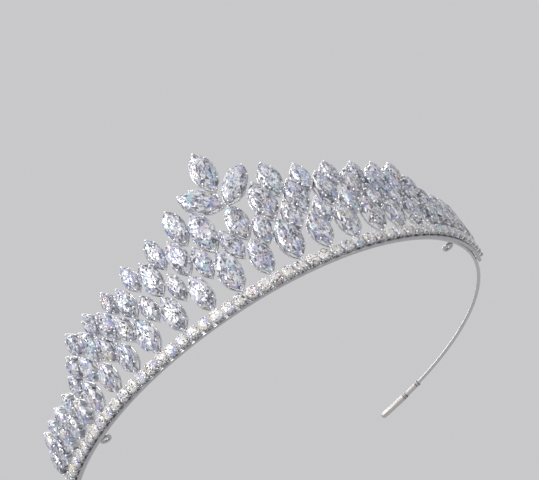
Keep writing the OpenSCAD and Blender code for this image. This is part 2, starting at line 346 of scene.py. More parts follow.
@dataclass
class GemCut:
    """Brilliant cut of eight mains over any outline, drawn with its girdle at height 0."""

    crown_height: float
    pavilion_depth: float
    half_girdle: float = 0.08
    table_share: float = 0.6
    star_height: float = 0.58
    heel_share: float = 0.93
    heel_height: float = 0.84
    heart_share: float = 0.5
    core_share: float = 0.24
    waist_share: float = 0.55

    def knees(self, rim: np.ndarray, tangent: np.ndarray,
              table: np.ndarray) -> np.ndarray:
        """Eight points on the crown where neighbouring mains meet.

        Each main is the plane through its girdle point, the girdle's direction there and
        its table corner. Two neighbours and the knees' level fix one meeting point.

        Args:
            rim: Sixteen girdle points (16, 3).
            tangent: Direction of the girdle at each of them (16, 3).
            table: Eight table corners (8, 3).

        Returns:
            Array (8, 3).
        """
        mains = rim[::2]
        normal = np.cross(table - mains, tangent[::2])
        level = self.half_girdle + (self.crown_height - self.half_girdle) * self.star_height
        other, start = np.roll(normal, -1, axis=0), np.roll(mains, -1, axis=0)
        system = np.stack([normal[:, :2], other[:, :2]], axis=1)
        known = np.stack([
            np.einsum("ij,ij->i", normal, mains) - normal[:, 2] * level,
            np.einsum("ij,ij->i", other, start) - other[:, 2] * level], axis=1)
        flat = np.linalg.solve(system, known[..., None])[..., 0]
        return levelled(flat, level)

    def levels(self, outline: Callable[[np.ndarray], np.ndarray]) -> list[np.ndarray]:
        """Corners of the cut, level by level, the table's middle and the point last.

        Args:
            outline: Function that gives the girdle's points for an array of turns.

        Returns:
            Upper and lower girdle (16, 3), then eight each of knees, table corners,
            heart corners, core corners, waists and heels, then the two poles.
        """
        turn, step = np.arange(2 * MAINS) / MAINS, 0.01
        flat = outline(turn)
        along = outline((turn + step) % 2) - outline((turn - step) % 2)
        height = self.crown_height
        top, low = levelled(flat, self.half_girdle), levelled(flat, -self.half_girdle)
        table = levelled(flat[::2] * self.table_share, height)
        heart = levelled(flat[1::2] * self.heart_share * self.table_share, height)
        core = levelled(flat[::2] * self.core_share * self.table_share, height)
        knees = self.knees(top, levelled(along, 0), table)
        waist = self.waist_share * table + (1 - self.waist_share) * top[::2]
        heels = levelled(flat[1::2] * self.heel_share,
                         -self.pavilion_depth * self.heel_height)
        poles = np.array([[0, 0, height], [0, 0, -self.pavilion_depth]])
        return [top, low, knees, table, heart, core, waist, heels, poles]

    def shell(self, outline: Callable[[np.ndarray], np.ndarray]) -> Shell:
        """The cut stone: table, stars, kites and halves above, halves and mains below.

        The table is one flat facet. It is parted into the two stars of back facets that
        show through it, and each kite into the three that show through it, so that each
        part takes its own painted tone of reflected light. The back is full: its halves
        fall steeply to the outline shrunk by the heel share, and its mains run from there
        to the point.

        Args:
            outline: Function that gives the girdle's points for an array of turns.

        Returns:
            The closed stone, face-on with +Z outwards, with its own x and y as its uv.
        """
        levels = self.levels(outline)
        points = np.vstack(levels)
        ends = np.cumsum([len(level) for level in levels[:-1]])
        tops, lows, knee, tab, hearts, cores, mid, heel, poles = np.split(
            np.arange(len(points)), ends)
        none = np.full(MAINS, -1)
        eye, tip = (np.full(MAINS, number) for number in poles)
        faces = [
            (tab, previous(knee), mid, none),
            (tab, mid, knee, none),
            (mid, previous(knee), tops[::2], knee),
            (tab, knee, following(tab), none),
            (knee, tops[::2], tops[1::2], none),
            (knee, tops[1::2], following(tops[::2]), none),
            (hearts, tab, following(tab), none),
            (tab, hearts, cores, previous(hearts)),
            (hearts, following(cores), cores, none),
            (eye, cores, following(cores), none),
            (tops, lows, following(lows), following(tops)),
            (tip, heel, lows[::2], previous(heel)),
            (heel, lows[1::2], lows[::2], none),
            (heel, following(lows[::2]), lows[1::2], none)]
        numbers = np.vstack([np.column_stack(corners) for corners in faces])
        return Shell.make(points, numbers, uv=points[:, :2], smooth=False)


# ---- The lattice's rules ----


class Row(Enum):
    """Rows of the lattice, from the band upwards."""

    LOW = "low"
    NEST = "nest"
    HIGH = "high"
    CREST = "crest"

    def below(self, steps: int) -> "Row":
        """The row some steps further down."""
        rows = list(Row)
        return rows[rows.index(self) - steps]


@dataclass(frozen=True)
class Seat:
    """Place of one marquise stone: arc length, height, lean and size."""

    place: float
    height: float
    calibre: Calibre
    lean: float = 0.0


@dataclass
class Lattice:
    """Rules that set each stone on the band, all from the spacing of the columns."""

    # The band, and how far the stones tip outwards from it.
    band_radius: float = 70.0
    row_height: float = 2.12
    flare: float = 2.1
    cups_per_side: int = 25
    # Metal round each marquise stone, the gaps between neighbours, and how many side gaps
    # solder can bridge.
    rim: float = 0.33
    claw_width: float = 0.54
    side_gap: float = 0.15
    tip_gap: float = 0.1
    solder_gaps: float = 2.5
    # Columns, counted from the middle, and the distance between two of them.
    front_pitch: float = 8.7
    side_pitch: float = 7.6
    end_pitch: float = 5.6
    front_columns: int = 4
    side_columns: int = 7
    last_column: int = 12
    # Lowest points of the first two rows, and the stones that stand apart.
    low_foot: float = 1.75
    nest_foot: float = 8.35
    nest_end_foot: float = 7.05
    nest_lean: float = 11.0
    first_crest: float = 1.5
    crest_step: float = 0.8
    # The three leaves at the top.
    wing_lean: float = 47.5
    wing_spread: float = 0.35
    wing_rise: float = 0.35
    top_rise: float = 5.0

    def place(self, column: float) -> float:
        """Arc length from the middle to a column.

        Args:
            column: Column from the middle; half columns lie in between.

        Returns:
            Arc length in millimetres.
        """
        outer = max(0.0, min(column, self.side_columns) - self.front_columns)
        return (self.front_pitch * min(column, self.front_columns)
                + self.side_pitch * outer
                + self.end_pitch * max(0.0, column - self.side_columns))

    def calibre(self, row: Row, column: float) -> Calibre:
        """Size of the stone in a row and column: the first whose last column isn't passed.

        Args:
            row: Row of the lattice.
            column: Column of the stone.

        Returns:
            Size of the stone.
        """
        grand, large, medium, small, tiny = Calibre
        front, side = self.front_columns, self.side_columns
        if row in (Row.LOW, Row.HIGH) and column == 1:
            return grand
        steps, beyond = {
            Row.LOW: (((front, large), (side, medium)), small),
            Row.NEST: (((1.5, medium), (side - 0.5, small)), tiny),
            Row.HIGH: (((front - 1, large), (side - 1, medium)), tiny),
            Row.CREST: (((1.5, large), (2.5, medium), (3.5, small)), tiny)}[row]
        return next((size for last, size in steps if column <= last), beyond)

    def reach(self, size: Calibre) -> float:
        """Distance from a stone's middle to the outside of its end claw."""
        return size.length / 2 + self.claw_width

    def rim_arc(self, size: Calibre) -> tuple[float, float]:
        """Radius of a rim's side arc, and how far its centre lies from the middle.

        Args:
            size: Size of the stone.

        Returns:
            The radius and the distance.
        """
        length, width = size.length + 2 * self.rim, size.width + 2 * self.rim
        radius = side_radius(length, width)
        return radius, radius - width / 2

    def nestle(self, below: Calibre, above: Calibre, distance: float) -> float:
        """Rise between two neighbours whose rims' arcs keep the side gap.

        Args:
            below: Size of the lower stone.
            above: Size of the upper stone.
            distance: Distance between their middles along the band.

        Returns:
            Height between their middles.
        """
        (r_below, d_below), (r_above, d_above) = self.rim_arc(below), self.rim_arc(above)
        span = r_below + r_above + self.side_gap
        across = distance + d_below + d_above
        return math.sqrt(max(0.0, span * span - across * across))

    def rise(self, row: Row, column: float) -> float:
        """Height of a stone's middle above the middle of the round stones.

        The lowest row stands on its posts. Each stone above is as low as its two lower
        neighbours let it be, and its foot stays above the nest row's least height or the
        tip of the stone two rows down.

        Args:
            row: Row of the lattice.
            column: Column of the stone.

        Returns:
            Height in millimetres.
        """
        size = self.calibre(row, column)
        if row is Row.LOW:
            return self.low_foot + self.reach(size)
        if row is Row.NEST:
            under = self.nest_foot if column < self.side_columns else self.nest_end_foot
        else:
            under = self.tip(row.below(2), column)
        heights = [under + self.reach(size)]
        here, beside = self.column_place(row, column), row.below(1)
        for near in (abs(column - 0.5), column + 0.5):
            nestled = self.nestle(self.calibre(beside, near), size,
                                  abs(here - self.place(near)))
            heights.append(self.rise(beside, near) + nestled)
        return max(heights)

    def tip(self, row: Row, column: float) -> float:
        """Height at which a stone may start above another's upper tip."""
        return self.rise(row, column) + self.reach(self.calibre(row, column)) + self.tip_gap

    def column_place(self, row: Row, column: float) -> float:
        """Arc length of a stone, with the first crest stones stepped aside."""
        step = self.crest_step if row is Row.CREST and column == self.first_crest else 0.0
        return self.place(column) + step

    def seat(self, row: Row, column: float, side: int) -> Seat:
        """Seat of one stone.

        Args:
            row: Row of the lattice.
            column: Column of the stone.
            side: 1 on the right and -1 on the left.

        Returns:
            The seat.
        """
        lean = side * self.nest_lean if row is Row.NEST and column < 1 else 0.0
        return Seat(side * self.column_place(row, column), self.rise(row, column),
                    self.calibre(row, column), lean)

    def wing_seat(self, side: int) -> Seat:
        """Seat of a side leaf of the top: its rim's arc clears the claw beside it.

        Args:
            side: 1 on the right and -1 on the left.

        Returns:
            The seat.
        """
        reach, lean = self.reach(Calibre.GRAND), math.radians(self.wing_lean)
        radius, offset = self.rim_arc(Calibre.GRAND)
        place = self.wing_spread + reach * math.sin(lean)
        span = radius + self.claw_width / 2 + self.tip_gap
        across = self.place(1) - place + offset * math.cos(lean)
        clear = (self.tip(Row.HIGH, 1) - self.tip_gap - self.claw_width / 2
                 + math.sqrt(max(0.0, span * span - across * across))
                 - offset * math.sin(lean))
        plain = self.tip(Row.HIGH, 0) - self.tip_gap + self.wing_rise
        height = max(plain + reach * math.cos(lean), clear)
        return Seat(side * place, height, Calibre.GRAND, side * self.wing_lean)

    def hub_height(self) -> float:
        """Height of the point where the three top leaves meet."""
        lean = math.radians(self.wing_lean)
        return self.wing_seat(1).height - self.reach(Calibre.GRAND) * math.cos(lean)

    def top_seat(self) -> Seat:
        """Seat of the top leaf."""
        height = self.hub_height() + self.top_rise + self.reach(Calibre.GRAND)
        return Seat(0.0, height, Calibre.GRAND)

    def on_band(self, place: float, height: float, lean: float = 0.0,
                tilt: float | None = None) -> np.ndarray:
        """Place on the band for a piece drawn face-on, +Y up and +Z outwards.

        Args:
            place: Arc length from the middle.
            height: Height above the round stones.
            lean: Degrees that it leans to the right.
            tilt: Degrees that it tips outwards, the lattice's flare if not given.

        Returns:
            Array (4, 4).
        """
        tilt = self.flare if tilt is None else tilt
        return (turned("Z", math.degrees(place / self.band_radius))
                @ moved(0, -self.band_radius, self.row_height)
                @ turned("X", 90 + tilt) @ moved(0, height, 0) @ turned("Z", -lean))

    def matrix(self, seat: Seat) -> np.ndarray:
        """Place of a seat's stone."""
        return self.on_band(seat.place, seat.height, seat.lean)

    def contacts(self, row: Row, column: float, side: int) -> list[tuple[float, float]]:
        """Points, as arc length and height, where a stone's rim meets those below it.

        Two rims meet on the line between the centres of their facing arcs.

        Args:
            row: Row of the lattice.
            column: Column of the stone.
            side: 1 on the right and -1 on the left.

        Returns:
            One point for each lower neighbour that is near enough for solder.
        """
        if row is Row.LOW:
            return []
        found = []
        here = self.seat(row, column, side)
        for near in sorted({column - 0.5, column + 0.5}):
            other = self.seat(row.below(1), abs(near), side if near >= 0 else -side)
            toward = math.copysign(1.0, here.place - other.place)
            r_low, d_low = self.rim_arc(other.calibre)
            r_up, d_up = self.rim_arc(here.calibre)
            low = np.array([other.place - toward * d_low, other.height])
            line = np.array([here.place + toward * d_up, here.height]) - low
            length = float(np.linalg.norm(line))
            gap = length - r_low - r_up
            spot = low + line / length * (r_low + gap / 2)
            if gap < self.solder_gaps * self.side_gap and spot[1] > other.height - r_low:
                found.append((float(spot[0]), float(spot[1])))
        return found


# ---- Baskets and cups ----


@dataclass
class Basket:
    """Open setting of one marquise stone: two gallery rings, six claws, maybe a post."""

    rim: float
    claw_width: float
    lip: float = 0.1
    ring_height: float = 0.5
    bearing_drop: float = 0.2
    depth: float = 2.3
    claw_rise: float = 0.5
    claw_share: float = 0.3
    post_width: float = 0.7
    upper_slim: float = 0.6
    bead: float = 0.35
    ring_stops: int = 32
    ring_profile: int = 8
    claw_sides: int = 8
    post_sides: int = 12

    def ring(self, size: Calibre, bottom: float, slim: float) -> Shell:
        """Gallery ring: a rounded profile carried round the stone's outline.

        At turn t and profile point (o, z) the surface is the leaf outline grown by o on
        every side, at height z.

        Args:
            size: Size of the stone.
            bottom: Height of the ring's underside.
            slim: Share of the rim's width that the ring has.

        Returns:
            The closed ring.
        """
        profile = soft_box(self.rim + self.lip, self.ring_height, self.ring_profile)
        out = (profile[:, 0] + (self.rim - self.lip) / 2) * slim
        height = profile[:, 1] + bottom + self.ring_height / 2
        turn = np.arange(self.ring_stops)[:, None] * 2 / self.ring_stops
        flat = leaf_points(size.length + 2 * out[None], size.width + 2 * out[None], turn)
        rings = np.concatenate(
            [flat, np.broadcast_to(height[None, :, None], flat.shape[:2] + (1,))], axis=-1)
        # Painted shade on the ring's inner side, towards the stone.
        inner = np.clip(0.75 - out / self.rim, 0, 1) * 0.6
        return sweep(rings, closed=True, recess=np.broadcast_to(inner, flat.shape[:2]))

    def claw(self) -> Shell:
        """One claw: a rod that rises to the girdle and folds over the stone's edge.

        Its middle leans towards -X as it rises. Its end is a bead whose radius is a half
        circle over its height.

        Returns:
            The claw, upright on its own middle line.
        """
        half, low = self.claw_width / 2, -self.depth
        lift = np.array([-0.75, -0.35, 0.1, 0.5, 0.82, 0.97])
        stops = np.array([
            [0.0, low, 0.82 * half], [0.0, low + 0.35, 0.9 * half],
            [0.0, -self.bearing_drop, 0.9 * half]])
        bead = np.column_stack([-0.04 - 0.1 * (lift + 0.75),
                                self.claw_rise + (lift - 1) * self.bead,
                                np.sqrt(1 - lift ** 2) * self.bead])
        stops = np.vstack([stops, bead])
        # Painted shade, more the lower the claw reaches under the stone.
        deep = np.clip(-stops[:, 1] / self.depth, 0, 1) * 0.4
        return rod(stops, self.claw_sides, recess=deep)

    def claw_places(self, size: Calibre) -> np.ndarray:
        """Places of the two end claws and four side claws, each leaning over the stone.

        Args:
            size: Size of the stone.

        Returns:
            Array (6, 4, 4).
        """
        places = []
        arc = side_radius(size.length, size.width)
        up = size.length * self.claw_share
        edge = math.sqrt(arc * arc - up * up) - arc + size.width / 2
        across = edge + self.claw_width / 2 + SEAT
        slope = math.degrees(math.atan2(up, edge + arc - size.width / 2))
        for end in (-1, 1):
            tip = end * (size.length / 2 + self.claw_width - self.bead)
            places.append(moved(0, tip) @ turned("Z", end * 90))
            for side in (-1, 1):
                facing = end * slope if side > 0 else 180 - end * slope
                places.append(moved(side * across, end * up) @ turned("Z", facing))
        return np.array(places)

    def post(self, start: float, end: float) -> Shell:
        """Post down from the lower ring, swelling to a fillet where it meets the wire.

        Args:
            start: Distance of its top below the stone's middle.
            end: Distance of its foot below the stone's middle.

        Returns:
            The post, in the basket's own place.
        """
        share = np.array([0.0, 0.03, 0.3, 0.7, 0.9, 0.97, 1.0])
        swell = np.array([0.75, 0.95, 0.82, 0.8, 0.88, 1.0, 0.95])
        stops = np.column_stack([np.zeros(len(share)), start + (end - start) * share,
                                 swell * self.post_width / 2])
        # Painted shade on the post, more towards its foot.
        upright = rod(stops, self.post_sides, recess=0.25 + 0.35 * share)
        return upright.placed(moved(z=-self.depth) @ turned("X", 90))

    def shell(self, size: Calibre) -> Shell:
        """The whole basket around one size of stone, without a post.

        Args:
            size: Size of the stone.

        Returns:
            The basket, face-on.
        """
        upper = self.ring(size, -self.bearing_drop - self.ring_height, self.upper_slim)
        lower = self.ring(size, -self.depth, 1.0)
        return joined([upper, lower, self.claw().placed(self.claw_places(size))])


@dataclass
class Cup:
    """Four-claw cup of one round stone, with a waisted wall and a rounded lip."""

    stone_width: float = 2.8
    rim: float = 0.2
    depth: float = 1.9
    lip: float = 0.1
    bearing_drop: float = 0.2
    gap: float = 0.28
    wall_stops: int = 20
    claw_sides: int = 7

    @property
    def radius(self) -> float:
        """Outer radius of the cup."""
        return self.stone_width / 2 + self.rim

    @property
    def pitch(self) -> float:
        """Distance from cup to cup."""
        return 2 * self.radius + self.gap

    def wall(self) -> Shell:
        """Ring wall: the profile (radius, height) turned once about the cup's middle.

        Returns:
            The closed wall, with the stone facing +Z.
        """
        inner, outer = (self.stone_width - self.lip) / 2, self.radius
        low, high = -self.depth, -self.bearing_drop
        profile = np.array([
            [inner + 0.03, high], [outer - 0.05, high], [outer, high - 0.12],
            [outer - 0.02, high - 0.35], [outer - 0.13, high - 0.75],
            [outer - 0.13, low + 0.3], [outer - 0.06, low + 0.1], [outer - 0.1, low],
            [inner + 0.02, low], [inner, low + 0.08], [inner, high - 0.08]])
        # Painted shade: how hidden each profile point is, most on the inside of the wall.
        hidden = np.array([0.3, 0.05, 0, 0.05, 0.35, 0.4, 0.3, 0.4, 0.7, 0.9, 0.8])
        return revolved(profile, self.wall_stops, hidden)

    def claws(self) -> Shell:
        """Four claws between the cups, each ending in a bead on the stone.

        Returns:
            The four claws.
        """
        half = self.rim + SEAT
        stops = np.array([
            [0.0, -self.depth, 0.8], [0.0, -self.depth + 0.3, 0.9], [0.0, -0.3, 0.92],
            [-0.04, 0.1, 1.0], [-0.16, 0.27, 1.12], [-0.22, 0.4, 0.95],
            [-0.23, 0.47, 0.45]])
        # Painted shade, more the lower the claw reaches.
        deep = np.clip(-stops[:, 1] / self.depth, 0, 1) * 0.5
        claw = rod(stops * [1, 1, half], self.claw_sides, recess=deep)
        path = self.stone_width / 2 + half + SEAT
        return claw.placed(np.array([turned("Z", quarter) @ moved(path)
                                     for quarter in (45, 135, 225, 315)]))

    def shell(self) -> Shell:
        """The whole cup."""
        return joined([self.wall(), self.claws()])


# ---- Node trees ----


class Tree:
    """Short way to add nodes to a material, world or group and join them."""

    def __init__(self, nodes: bpy.types.NodeTree) -> None:
        """Starts on an empty tree."""
        self.tree = nodes
        nodes.nodes.clear()

    def add(self, kind: str, **settings: object) -> bpy.types.Node:
        """Adds a node and sets its fields.

        Args:
            kind: The node's type.
            settings: Fields of the node, by name.

        Returns:
            The node.
        """
        node = self.tree.nodes.new(kind)
        for name, value in settings.items():
            setattr(node, name, value)
        return node

    def link(self, source: bpy.types.NodeSocket, target: bpy.types.NodeSocket) -> None:
        """Joins an output to an input."""
        self.tree.links.new(source, target)

    def put(self, target: bpy.types.NodeSocket, value: object) -> None:
        """Sets an input to a number or an opaque colour, or joins an output to it.

        Args:
            target: Input.
            value: Number, colour, vector or output.
        """
        if isinstance(value, bpy.types.NodeSocket):
            self.link(value, target)
        elif target.type == "RGBA":
            target.default_value = (*value[:3], 1)
        else:
            target.default_value = value

    def fill(self, node: bpy.types.Node, values: dict[str, object]) -> None:
        """Sets or joins several of a node's inputs, by name."""
        for name, value in values.items():
            self.put(node.inputs[name], value)

    def math(self, operation: str, *values: object) -> bpy.types.NodeSocket:
        """Result of a sum or other operation on numbers.

        Args:
            operation: Name of the operation.
            values: Numbers or outputs, in the node's order.

        Returns:
            The result.
        """
        node = self.add("ShaderNodeMath", operation=operation)
        for socket, value in zip(node.inputs, values):
            self.put(socket, value)
        return node.outputs[0]

    def vector(self, operation: str, *values: object) -> bpy.types.NodeSocket:
        """Result of an operation on vectors.

        Args:
            operation: Name of the operation.
            values: Vectors or outputs, in the node's order.

        Returns:
            The result.
        """
        node = self.add("ShaderNodeVectorMath", operation=operation)
        for socket, value in zip(node.inputs, values):
            self.put(socket, value)
        return node.outputs[0]

    def ramp(self, value: object, low: object, high: object, start: object = 0.0,
             end: object = 1.0) -> bpy.types.NodeSocket:
        """Number that goes smoothly from start to end as value goes from low to high.

        Args:
            value: Number that is followed.
            low: Where the change starts.
            high: Where it ends.
            start: Result below low.
            end: Result above high.

        Returns:
            The result.
        """
        node = self.add("ShaderNodeMapRange", interpolation_type="SMOOTHSTEP")
        self.fill(node, {"Value": value, "From Min": low, "From Max": high,
                         "To Min": start, "To Max": end})
        return node.outputs["Result"]

    def blend(self, share: object, first: object, second: object,
              mode: str = "MIX") -> bpy.types.NodeSocket:
        """Mix of two colours.

        Args:
            share: Share of the second colour.
            first: Colour or output.
            second: Colour or output.
            mode: How they mix.

        Returns:
            The mixed colour.
        """
        node = self.add("ShaderNodeMix", data_type="RGBA", blend_type=mode)
        sockets = (node.inputs[0], node.inputs[6], node.inputs[7])
        for socket, value in zip(sockets, (share, first, second)):
            self.put(socket, value)
        return node.outputs[2]

    def layered(self, share: object, under: bpy.types.Node,
                over: bpy.types.Node) -> bpy.types.Node:
        """Mixes two shaders.

        Args:
            share: Share of the second shader.
            under: First shader.
            over: Second shader.

        Returns:
            The mixing node.
        """
        node = self.add("ShaderNodeMixShader")
        self.put(node.inputs[0], share)
        self.link(under.outputs[0], node.inputs[1])
        self.link(over.outputs[0], node.inputs[2])
        return node

    def split(self, source: bpy.types.NodeSocket, kind: str) -> list[bpy.types.NodeSocket]:
        """Parts a colour or a place into its three numbers.

        Args:
            source: The colour or place.
            kind: Color for a colour and XYZ for a place.

        Returns:
            Three outputs.
        """
        node = self.add(f"ShaderNodeSeparate{kind}")
        self.link(source, node.inputs[0])
        return list(node.outputs)

    def steps(self, value: object,
              stops: Sequence[tuple[float, Colour]]) -> bpy.types.NodeSocket:
        """Colour that jumps from stop to stop as value rises.

        Args:
            value: Number that is followed.
            stops: Places from 0 to 1 with their colours, rising.

        Returns:
            The colour.
        """
        node = self.add("ShaderNodeValToRGB")
        ramp = node.color_ramp
        ramp.interpolation = "CONSTANT"
        while len(ramp.elements) < len(stops):
            ramp.elements.new(1.0)
        for element, (place, colour) in zip(ramp.elements, stops):
            element.position = place
            element.color = (*colour, 1)
        self.put(node.inputs[0], value)
        return node.outputs[0]

    def noise(self, where: bpy.types.NodeSocket, scale: float,
              detail: float = 3.0) -> bpy.types.NodeSocket:
        """Soft noise between 0 and 1.

        Args:
            where: Place at which it is read.
            scale: Fineness.
            detail: Number of finer layers in it.

        Returns:
            The noise.
        """
        node = self.add("ShaderNodeTexNoise")
        self.fill(node, {"Vector": where, "Scale": scale, "Detail": detail})
        return node.outputs["Fac"]


# Colours of the painted fire: flashes of split light painted into the stones.
FIRE_COLOURS = (
    (0.0, (0.90, 0.86, 0.50)), (0.38, (0.88, 0.58, 0.64)), (0.44, (0.56, 0.54, 0.90)),
    (0.5, (0.38, 0.46, 0.88)), (0.58, (0.48, 0.78, 0.82)))


@dataclass(frozen=True)
class FacetPlay:
    """What a stone's painted pattern of reflected light, glints and fire is made of.

    A share is how much one thing adds to a facet's tone, a turn is where a number goes
    from none to all, a spread multiplies a random number, and a scale is a fineness.
    """

    facet_share: float = 0.3
    shard_share: float = 0.48
    zone_share: float = 0.18
    painted_sheen: float = 0.1
    least_slope: float = 0.35
    slope_spread: float = 0.5
    start_spread: float = 7.0
    cell_spread: float = 31.0
    cast_turn: tuple[float, float] = (0.32, 0.43)
    glint_turn: tuple[float, float] = (0.5, 0.64)
    zone_turn: tuple[float, float] = (0.36, 0.64)
    glow_turn: tuple[float, float] = (0.5, 0.6)
    glow_chance: tuple[float, float] = (0.3, 0.7)
    zone_scale: float = 330.0
    glow_scale: float = 420.0
    hue_scale: float = 260.0
    fire_offset: tuple[float, float, float] = (0.05, 0.03, 0.07)
    roughness: tuple[float, float] = (0.02, 0.09)


@dataclass(frozen=True)
class PlatingWear:
    """Scales and turning points of the plated metal's painted corner shade, worn spots, grain
    and lines.
    """

    patch_scale: float = 450.0
    grain_scale: float = 5200.0
    grain_detail: float = 2.0
    line_stretch: tuple[float, float, float] = (0.15, 6.0, 1.0)
    line_scale: float = 2.4
    line_detail: float = 4.0
    shade_turn: tuple[float, float] = (0.25, 0.75)
    shade_range: tuple[float, float] = (0.75, 1.25)
    spot_turn: tuple[float, float] = (0.56, 0.74)
    spot_share: float = 0.18
    dull_roughness: float = 0.2


class GroupMaker:
    """Builds each shared effect once, as a node group with named sockets."""

    FLOAT = "NodeSocketFloat"
    COLOUR = "NodeSocketColor"
    VECTOR = "NodeSocketVector"

    def __init__(self) -> None:
        """Makes the shared groups."""
        self.facets = self._facets(FacetPlay())
        self.plating = self._plating(PlatingWear())

    def _group(self, name: str, takes: dict[str, str],
               gives: dict[str, str]) -> tuple[Tree, dict, dict]:
        """An empty group with its sockets.

        Args:
            name: Name of the group.
            takes: Type of each input by name.
            gives: Type of each output by name.

        Returns:
            The tree, its inputs by name and its outputs by name.
        """
        group = bpy.data.node_groups.new(name, "ShaderNodeTree")
        tree = Tree(group)
        for way, sockets in (("INPUT", takes), ("OUTPUT", gives)):
            for label, kind in sockets.items():
                group.interface.new_socket(label, in_out=way, socket_type=kind)
        entry, outlet = tree.add("NodeGroupInput"), tree.add("NodeGroupOutput")
        return (tree, {label: entry.outputs[label] for label in takes},
                {label: outlet.inputs[label] for label in gives})

    def _facets(self, play: FacetPlay) -> Tree:
        """Painted play of light in a cut stone: each facet's painted tone of reflected light,
        painted shards of reflection in it, and painted fire.

        The shards are the cells of two families of slanting lines, across + slope * up
        and across - slope * up, mirrored about the stone's long axis. Every facet starts
        them at a place of its own, so they break at its edges.

        Args:
            play: What the pattern is made of.

        Returns:
            The group's tree.
        """
        tree, takes, gives = self._group(
            "painted_facet_light",
            {"Dark": self.COLOUR, "Cast": self.COLOUR, "Clear": self.COLOUR,
             "Fire": self.FLOAT, "Shards": self.FLOAT, "Tilt": self.FLOAT},
            {"Color": self.COLOUR, "Roughness": self.FLOAT, "Normal": self.VECTOR})
        coords = tree.add("ShaderNodeTexCoord")
        facet = tree.add("ShaderNodeAttribute", attribute_name="facet")
        own, own_start, own_slope = tree.split(facet.outputs["Color"], "Color")
        x, y = tree.split(coords.outputs["UV"], "XYZ")[:2]
        across = tree.math("MULTIPLY", tree.math("ABSOLUTE", x), takes["Shards"])
        across = tree.math("ADD", across, tree.math("MULTIPLY", own_start, play.start_spread))
        up = tree.math("MULTIPLY", y, takes["Shards"])
        slope = tree.math("MULTIPLY_ADD", own_slope, play.slope_spread, play.least_slope)
        rising = tree.math("MULTIPLY_ADD", up, slope, across)
        falling = tree.math("MULTIPLY_ADD", up, tree.math("MULTIPLY", slope, -1.0), across)
        cell = tree.add("ShaderNodeCombineXYZ")
        tree.fill(cell, {"X": tree.math("FLOOR", rising), "Y": tree.math("FLOOR", falling),
                         "Z": tree.math("MULTIPLY", own, play.cell_spread)})
        chance = tree.add("ShaderNodeTexWhiteNoise", noise_dimensions="3D")
        tree.link(cell.outputs[0], chance.inputs["Vector"])
        shard, shard_fire, shard_polish = tree.split(chance.outputs["Color"], "Color")

        place = coords.outputs["Object"]
        zone = tree.ramp(tree.noise(place, play.zone_scale), *play.zone_turn)
        # The tone is painted light: a painted sheen across each shard, then the facet's tone,
        # broad zones and shards as painted reflections. The brightest tones are painted
        # glints.
        tone = tree.math("MULTIPLY", tree.math("FRACT", rising), play.painted_sheen)
        for part, share in ((own, play.facet_share), (zone, play.zone_share),
                            (shard, play.shard_share)):
            tone = tree.math("MULTIPLY_ADD", part, share, tone)
        body = tree.blend(tree.ramp(tone, *play.cast_turn), takes["Dark"], takes["Cast"])
        body = tree.blend(tree.ramp(tone, *play.glint_turn), body, takes["Clear"])

        # Painted fire: patches of coloured split light.
        aside = tree.vector("ADD", place, play.fire_offset)
        hue = tree.steps(tree.noise(aside, play.hue_scale), FIRE_COLOURS)
        glow = tree.ramp(tree.noise(aside, play.glow_scale), *play.glow_turn)
        lit = tree.math("MULTIPLY", glow, tree.ramp(shard_fire, *play.glow_chance))
        lit = tree.math("MULTIPLY", lit, takes["Fire"])
        tree.link(tree.blend(lit, body, hue), gives["Color"])
        tree.link(tree.ramp(shard_polish, 0.0, 1.0, *play.roughness), gives["Roughness"])

        lean = tree.add("ShaderNodeVectorMath", operation="SCALE")
        tree.link(tree.vector("SUBTRACT", chance.outputs["Color"], (0.5, 0.5, 0.5)),
                  lean.inputs[0])
        tree.link(takes["Tilt"], lean.inputs["Scale"])
        face = tree.add("ShaderNodeNewGeometry").outputs["Normal"]
        tree.link(tree.vector("NORMALIZE", tree.vector("ADD", face, lean.outputs[0])),
                  gives["Normal"])
        return tree

    def _plating(self, wear: PlatingWear) -> Tree:
        """Plated metal: painted shade in corners, worn spots, and a grain that is cast or
        drawn.

        Args:
            wear: Scales and turning points.

        Returns:
            The group's tree.
        """
        tree, takes, gives = self._group(
            "plating",
            {"Metal": self.COLOUR, "Shade And Wear": self.COLOUR, "Corner Shade": self.FLOAT,
             "Polish": self.FLOAT, "Grain": self.FLOAT, "Drawn": self.FLOAT},
            {"Color": self.COLOUR, "Roughness": self.FLOAT, "Height": self.FLOAT})
        deep = tree.add("ShaderNodeAttribute", attribute_name="recess").outputs["Fac"]
        coords = tree.add("ShaderNodeTexCoord")
        place = coords.outputs["Object"]
        stretched = tree.vector("MULTIPLY", coords.outputs["UV"], wear.line_stretch)
        patch = tree.noise(place, wear.patch_scale)
        grain = tree.add("ShaderNodeMix", data_type="FLOAT")
        tree.link(takes["Drawn"], grain.inputs[0])
        tree.link(tree.noise(place, wear.grain_scale, wear.grain_detail), grain.inputs[2])
        tree.link(tree.noise(stretched, wear.line_scale, wear.line_detail), grain.inputs[3])
        # Painted shade: the metal darkens towards its darker colour the deeper a point lies
        # in a corner, broken up by the patch noise. The spots below are random wear.
        painted_shade = tree.math("MULTIPLY", deep,
                         tree.ramp(patch, *wear.shade_turn, *wear.shade_range))
        painted_shade = tree.math("MULTIPLY", painted_shade, takes["Corner Shade"])
        spots = tree.ramp(patch, *wear.spot_turn, 0.0, wear.spot_share)
        share = tree.math("MINIMUM", tree.math("ADD", painted_shade, spots), 1.0)
        tree.link(tree.blend(share, takes["Metal"], takes["Shade And Wear"]), gives["Color"])
        rough = tree.math("MULTIPLY_ADD", grain.outputs[0], takes["Grain"], takes["Polish"])
        rough = tree.math("MULTIPLY_ADD", share, wear.dull_roughness, rough)
        tree.link(rough, gives["Roughness"])
        tree.link(grain.outputs[0], gives["Height"])
        return tree


# ---- Finishes ----


